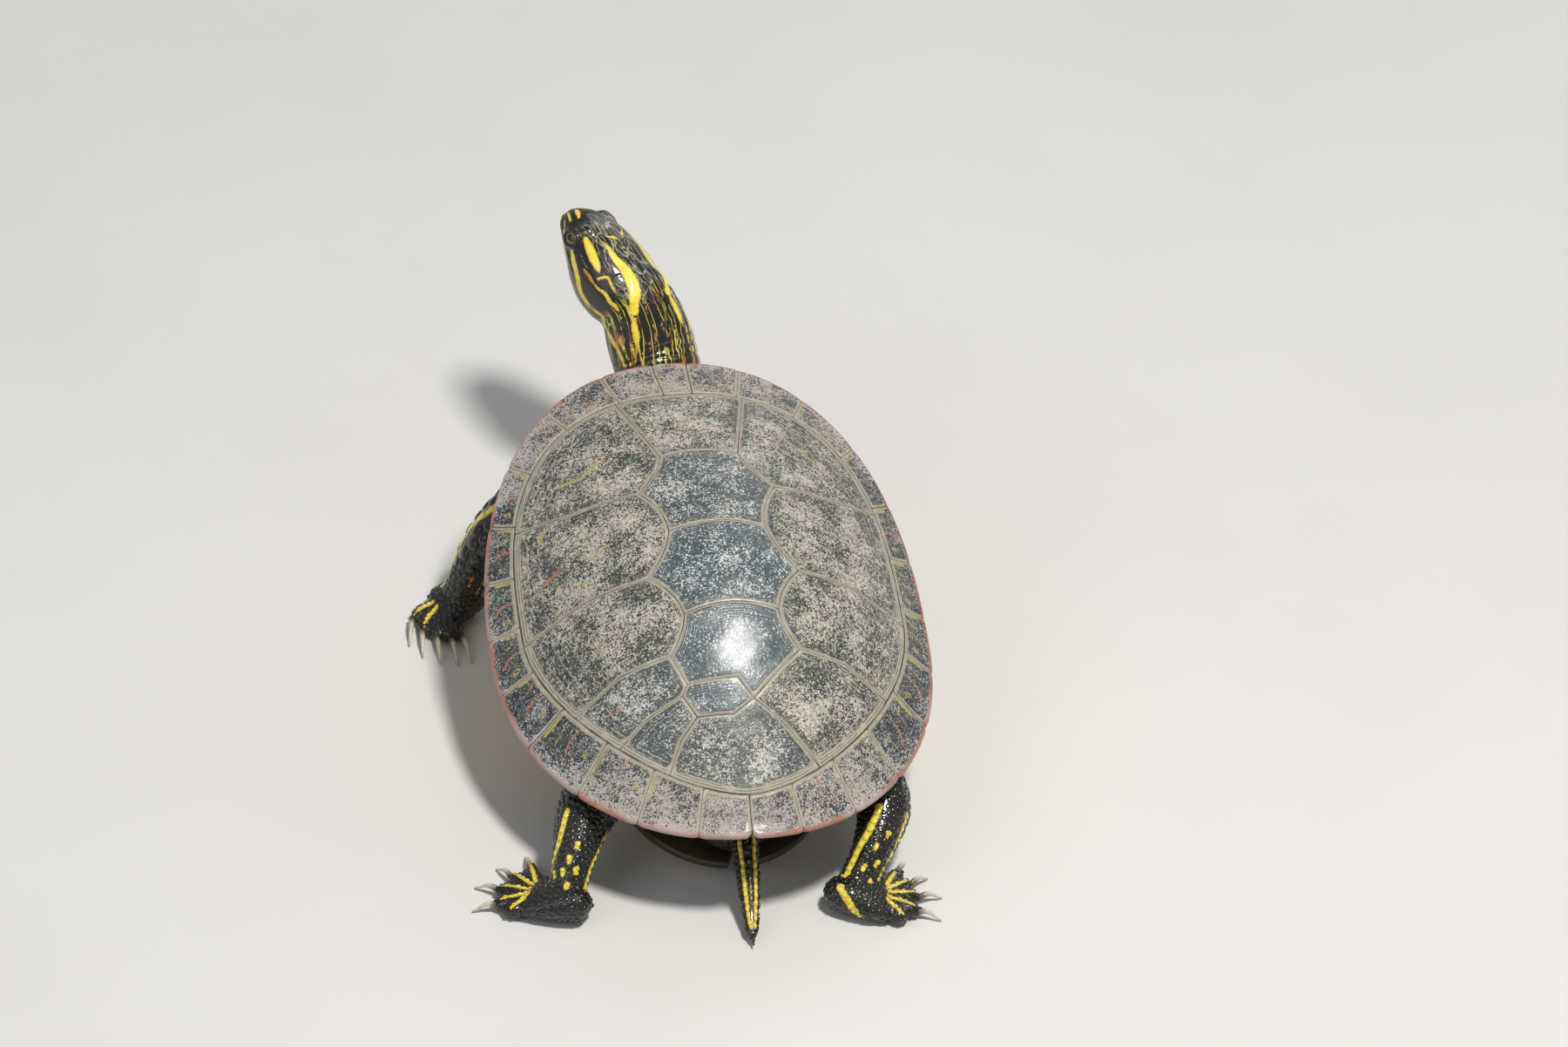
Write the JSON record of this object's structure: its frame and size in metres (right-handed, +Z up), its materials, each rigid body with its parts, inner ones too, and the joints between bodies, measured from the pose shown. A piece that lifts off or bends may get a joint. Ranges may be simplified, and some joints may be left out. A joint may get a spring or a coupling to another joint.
{
  "type": "painted turtle",
  "caption": "Life-size still model of a painted turtle standing on four webbed feet, front raised, head lifted and turned left.",
  "frame": {"origin": "on the floor, under the middle of the whole animal's box", "axes": "+Y ahead of the turtle, +Z up, +X to its right"},
  "size_m": [0.124, 0.1887, 0.0799],
  "materials": {
    "carapace": "satin horn, dusted with dry silt",
    "marginals": "satin horn with red edge and yellow bars",
    "plastron": "satin yellow horn with a dark centre",
    "skin": "moist scaly skin, black with yellow stripes",
    "eye": "wet and glossy",
    "claw": "smooth pale horn"
  },
  "bodies": {
    "root": {"claw_fore_left_1": "claw", "claw_fore_left_2": "claw", "claw_fore_left_3": "claw", "claw_fore_left_4": "claw", "claw_fore_left_5": "claw", "claw_fore_right_1": "claw", "claw_fore_right_2": "claw", "claw_fore_right_3": "claw", "claw_fore_right_4": "claw", "claw_fore_right_5": "claw", "claw_hind_left_1": "claw", "claw_hind_left_2": "claw", "claw_hind_left_3": "claw", "claw_hind_left_4": "claw", "claw_hind_right_1": "claw", "claw_hind_right_2": "claw", "claw_hind_right_3": "claw", "claw_hind_right_4": "claw", "costal_left_1": "carapace", "costal_left_2": "carapace", "costal_left_3": "carapace", "costal_left_4": "carapace", "costal_left_5": "carapace", "costal_right_1": "carapace", "costal_right_2": "carapace", "costal_right_3": "carapace", "costal_right_4": "carapace", "eye_left": "eye", "eye_right": "eye", "forefoot_left": "skin", "forefoot_right": "skin", "foreleg_left": "skin", "foreleg_right": "skin", "head": "skin", "hindfoot_left": "skin", "hindfoot_right": "skin", "hindleg_left": "skin", "hindleg_right": "skin", "lower_jaw": "skin", "marginals_left_bridge": "marginals", "marginals_left_front": "marginals", "marginals_left_rear": "marginals", "marginals_right_bridge": "marginals", "marginals_right_front": "marginals", "marginals_right_rear": "marginals", "neck": "skin", "nuchal": "marginals", "plastron": "plastron", "tail": "skin", "trunk": "skin", "vertebral_1": "carapace", "vertebral_2": "carapace", "vertebral_3": "carapace", "vertebral_4": "carapace", "vertebral_5": "carapace", "vertebral_6": "carapace"}
  },
  "joints": []
}
